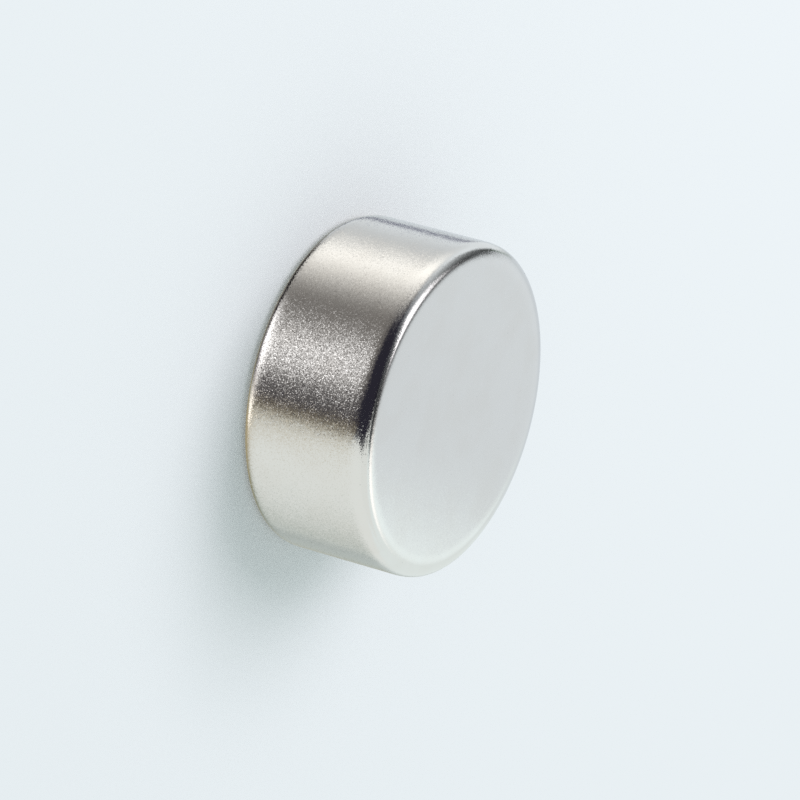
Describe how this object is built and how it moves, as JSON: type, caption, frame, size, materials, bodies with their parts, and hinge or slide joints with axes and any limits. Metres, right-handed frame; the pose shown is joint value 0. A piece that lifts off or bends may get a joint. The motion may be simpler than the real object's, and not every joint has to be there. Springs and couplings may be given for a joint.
{
  "type": "cylinder magnet",
  "caption": "Short, thick cylinder magnet with a bright nickel-plated finish, two flat faces and softly rounded edges.",
  "frame": {"origin": "centre of the lower flat face", "axes": "+Z along the disc's axis, from the lower flat face to the upper one; X and Y are any two directions across the disc"},
  "size_m": [0.024, 0.024, 0.01],
  "materials": {
    "nickel_plating": "bright nickel plating over a finely ground surface, satin on the wall"
  },
  "bodies": {
    "root": {"magnet": "nickel_plating"}
  },
  "joints": []
}
